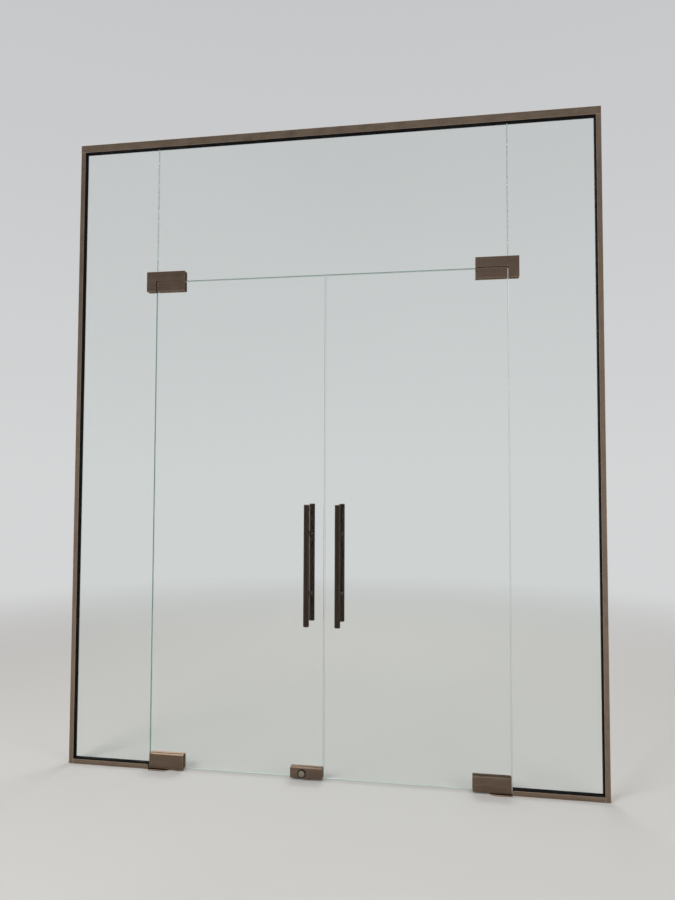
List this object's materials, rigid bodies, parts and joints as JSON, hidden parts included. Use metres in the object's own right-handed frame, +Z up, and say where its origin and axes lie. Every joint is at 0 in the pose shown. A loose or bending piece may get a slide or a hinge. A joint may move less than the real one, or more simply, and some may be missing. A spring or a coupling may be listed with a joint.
{
  "type": "glass entrance door",
  "caption": "Frameless glass double door with swing leaves, sidelights, overpanel, patch fittings, tubular pulls and a corner lock.",
  "frame": {"origin": "on the floor, under the middle of the door's width and of the glass", "axes": "+X to the right as seen from the front, +Y to the rear, +Z up"},
  "size_m": [2.714, 0.1846, 3.318],
  "materials": {
    "channel_steel": "satin",
    "patch_steel": "satin",
    "pull_steel": "polished satin",
    "casting": "as cast",
    "screw_steel": "zinc plated",
    "lock_nickel": "satin",
    "lock_brass": "satin",
    "gasket_rubber": "matt",
    "block_rubber": "matt",
    "glass": "clear",
    "silicone": "clear",
    "liner": "fibre",
    "bush_plastic": "matt"
  },
  "bodies": {
    "root": {"head_channel": "channel_steel", "jamb_channel_left": "channel_steel", "jamb_channel_right": "channel_steel", "sill_channel_left": "channel_steel", "sill_channel_right": "channel_steel", "glazing_gaskets": "gasket_rubber", "setting_blocks": "block_rubber", "sidelight_glass_left": "glass", "sidelight_glass_right": "glass", "overpanel_glass": "glass", "silicone_joints": "silicone", "corner_patch_left_front_cover": "patch_steel", "corner_patch_left_rear_cover": "patch_steel", "corner_patch_left_clamp": "casting", "corner_patch_right_front_cover": "patch_steel", "corner_patch_right_rear_cover": "patch_steel", "corner_patch_right_clamp": "casting", "corner_patch_liners": "liner", "corner_patch_screws": "screw_steel", "top_pivot_pins": "screw_steel", "floor_plates": "patch_steel", "floor_spindles": "screw_steel", "lock_strike": "patch_steel"},
    "left_leaf": {"left_leaf_glass": "glass", "left_top_patch_front_cover": "patch_steel", "left_top_patch_rear_cover": "patch_steel", "left_top_patch_clamp": "casting", "left_top_pivot_bush": "bush_plastic", "left_bottom_patch_front_cover": "patch_steel", "left_bottom_patch_rear_cover": "patch_steel", "left_bottom_patch_clamp": "casting", "left_closer": "casting", "left_glass_pads": "liner", "left_patch_screws": "screw_steel", "left_pull_front": "pull_steel", "left_pull_rear": "pull_steel", "left_pull_fixings": "pull_steel", "lock_patch_front_cover": "patch_steel", "lock_patch_rear_cover": "patch_steel", "lock_patch_clamp": "casting", "lock_case": "casting", "lock_cylinders": "lock_nickel"},
    "right_leaf": {"right_leaf_glass": "glass", "right_top_patch_front_cover": "patch_steel", "right_top_patch_rear_cover": "patch_steel", "right_top_patch_clamp": "casting", "right_top_pivot_bush": "bush_plastic", "right_bottom_patch_front_cover": "patch_steel", "right_bottom_patch_rear_cover": "patch_steel", "right_bottom_patch_clamp": "casting", "right_closer": "casting", "right_glass_pads": "liner", "right_patch_screws": "screw_steel", "right_pull_front": "pull_steel", "right_pull_rear": "pull_steel", "right_pull_fixings": "pull_steel"},
    "lock_turn": {"lock_plug": "lock_brass", "lock_pinion": "screw_steel", "lock_thumb_turn": "lock_nickel"},
    "lock_bolt": {"lock_bolt": "screw_steel"}
  },
  "joints": [
    {"name": "left_leaf_swing", "type": "hinge", "parent": "root", "child": "left_leaf", "pos_m": [-0.8575, 0, 0], "axis": [0, 0, 1], "range_deg": [-90, 90], "stiffness_Nm_per_rad": 40},
    {"name": "right_leaf_swing", "type": "hinge", "parent": "root", "child": "right_leaf", "pos_m": [0.8575, 0, 0], "axis": [0, 0, 1], "range_deg": [-90, 90], "stiffness_Nm_per_rad": 40},
    {"name": "lock_turn", "type": "hinge", "parent": "left_leaf", "child": "lock_turn", "pos_m": [-0.108, 0, 0.033], "axis": [0, 1, 0], "range_deg": [0, 90]},
    {"name": "lock_bolt_throw", "type": "slide", "parent": "left_leaf", "child": "lock_bolt", "axis": [0, 0, -1], "range_m": [0, 0.01414]}
  ],
  "couplings": [
    {"joint": "lock_turn", "follows": "lock_bolt_throw", "rad_per_m": 111.11}
  ]
}
